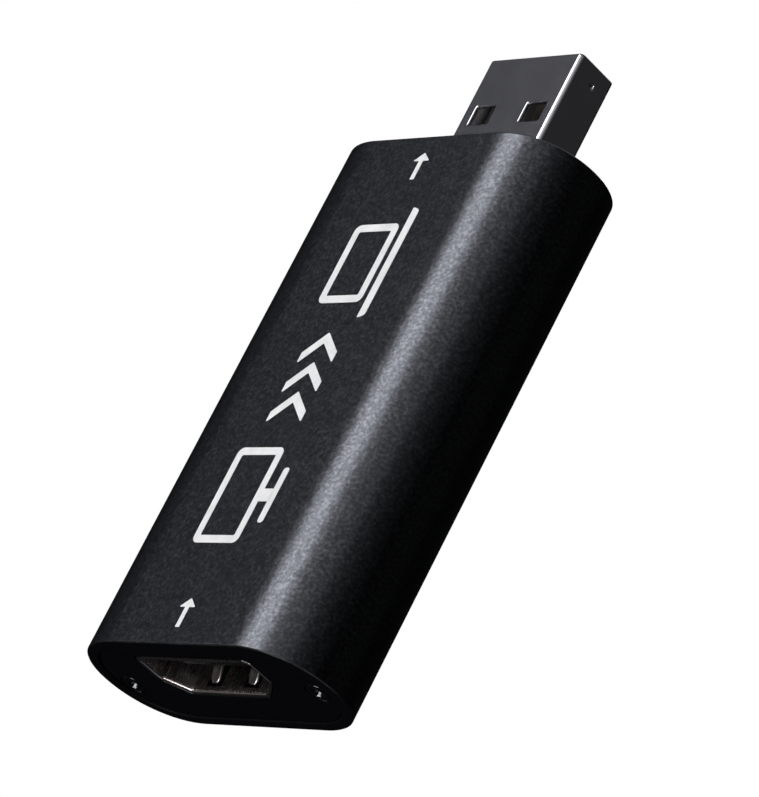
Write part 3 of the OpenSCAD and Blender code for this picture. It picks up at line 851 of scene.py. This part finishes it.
sleeve()
rails()
marks()
input_cap()
output_cap()
screws("input_screws", Y_IN + CAP_RECESS + 0.02, -1, (50, 52), "input_cap_screws")
screws("output_screws", Y_OUT - CAP_RECESS - 0.02, 1, (35, 8), "output_cap_screws")
socket()
for sx in (-1, 1):
    for up in (False, True):
        finger(f"finger_{'upper' if up else 'lower'}_{'left' if sx < 0 else 'right'}", sx, up)
plug()

# ---------------------------------------------------------------- carried-over solids
for node, key in {
    "circuit_board": "board", "socket_insulator": "black", "socket_upper_contacts": "gold", "socket_lower_contacts": "gold",
    "plug_insulator": "grey", "plug_contacts": "contact", "capture_chip": "chip", "capture_chip_leads": "tin", "memory_chip": "chip",
    "memory_chip_leads": "tin", "power_regulator": "chip", "power_regulator_leads": "tin", "crystal_can": "tin", "surge_arrays": "chip",
    "ceramic_capacitors": "ceramic", "chip_resistors": "chip", "ferrite_beads": "ferrite", "bulk_capacitor": "yellow", "passive_terminals": "tin",
}.items():
    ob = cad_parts[node]
    ob.data.materials.clear()
    ob.data.materials.append(M[key])

# ---------------------------------------------------------------- stage
def floor():
    """A white floor that rises into a round white backdrop."""
    rings = [(0.55 * k, 0.0) for k in range(1, 5)]
    rings += [(2.2 * math.cos(math.radians(a)), 2.2 * math.sin(math.radians(a))) for a in range(6, 90, 6)]
    n = 48
    v = [(0, 0, 0)]
    for r, z in rings:
        v += [(r * math.cos(2 * math.pi * k / n), r * math.sin(2 * math.pi * k / n), z) for k in range(n)]
    v.append((0, 0, 2.2))
    f = [(0, 1 + k, 1 + (k + 1) % n) for k in range(n)]
    for i in range(len(rings) - 1):
        a, b = 1 + i * n, 1 + (i + 1) * n
        f += [(a + k, b + k, b + (k + 1) % n, a + (k + 1) % n) for k in range(n)]
    a = 1 + (len(rings) - 1) * n
    f += [(a + k, len(v) - 1, a + (k + 1) % n) for k in range(n)]
    me = bpy.data.meshes.new("floor")
    me.from_pydata(v, [], f)
    ob = bpy.data.objects.new("floor", me)
    scene.collection.objects.link(ob)
    ob.location.z = -0.0001
    m = bpy.data.materials.new("floor")
    m.use_nodes = True
    t = m.node_tree
    t.nodes.clear()
    out = t.nodes.new("ShaderNodeOutputMaterial")
    em = t.nodes.new("ShaderNodeEmission")
    em.inputs["Color"].default_value = (1, 1, 1, 1)
    em.inputs["Strength"].default_value = 1.0
    t.links.new(em.outputs[0], out.inputs["Surface"])
    me.materials.append(m)
    ob.visible_glossy = ob.visible_diffuse = ob.visible_transmission = ob.visible_shadow = False


floor()


def area(name, direction, distance, size_x, size_y, power, colour=(1, 1, 1), target=(0, -0.0066, 0.0066)):
    """A softbox that faces the box; size_y runs along the box."""
    li = bpy.data.lights.new(name, "AREA")
    li.shape, li.size, li.size_y = "RECTANGLE", size_x, size_y
    li.energy, li.color = power, colour
    ob = bpy.data.objects.new(name, li)
    scene.collection.objects.link(ob)
    d = Vector(direction).normalized()
    y = (Vector((0, 1, 0)) - d * d.y).normalized()
    ob.matrix_world = Matrix.Translation(Vector(target) + d * distance) @ Matrix((y.cross(d), y, d)).transposed().to_4x4()
    return ob


def overhead(angle, lead=0.3856):
    """Direction of an overhead light whose reflection lies on the sleeve where its normal leans by angle towards +X."""
    a = math.radians(2 * angle - 54.33)
    return (0.9227 * math.sin(a), lead, 0.9227 * math.cos(a))


area("key", overhead(17.1, 0.21), 0.60, 0.295, 0.58, 3.08)
area("key_edge", overhead(31, 0.21), 0.60, 0.17, 0.58, 0.096)
area("key_tail", overhead(37, 0.18), 0.60, 0.50, 0.62, 0.55)
area("side_near", overhead(55), 0.60, 0.19, 0.50, 0.038)
area("side_far", overhead(65), 0.60, 0.30, 0.50, 0.022)
area("side_low", (0.75, 0.386, -0.538), 0.60, 0.40, 0.40, 0.0092)
area("left", overhead(-2, 0.33), 0.60, 0.62, 0.60, 0.047, (0.92, 0.98, 1.12))
area("left_front", (-0.75, -0.54, 0.385), 0.60, 0.30, 0.30, 0.040)
area("front", (0.14, -0.66, 0.70), 0.60, 0.26, 0.20, 1.5)
# pale bounce from below, as a white table gives to the two ends
area("bounce_in", (0.10, -0.95, -0.28), 0.60, 0.60, 0.40, 0.17, (0.90, 0.91, 1.06))
area("bounce_out", (-0.10, 0.95, -0.28), 0.60, 0.60, 0.40, 0.34, (0.94, 0.95, 1.03))

world = bpy.data.worlds.new("studio")
scene.world = world
world.use_nodes = True
world.node_tree.nodes["Background"].inputs["Color"].default_value = (0.9, 0.95, 1.0, 1)
world.node_tree.nodes["Background"].inputs["Strength"].default_value = 0.009

# ---------------------------------------------------------------- camera, at the photograph's viewing angle
cam = bpy.data.cameras.new("camera")
cam.sensor_width, cam.lens = 36.0, 5402.80 * 36 / 797
cam.clip_start, cam.clip_end = 0.01, 50
cam_ob = bpy.data.objects.new("camera", cam)
scene.collection.objects.link(cam_ob)
right = Vector((0.66394, 0.42327, -0.61646))
up = Vector((0.01055, 0.81900, 0.57369))
back = Vector((0.74771, -0.38741, 0.53931))
rot = Matrix((right, up, back)).transposed().to_4x4()
cam_ob.matrix_world = Matrix.Translation((0.3501517, -0.1841026, 0.2578925)) @ rot
scene.camera = cam_ob
scene.view_settings.view_transform = "Standard"
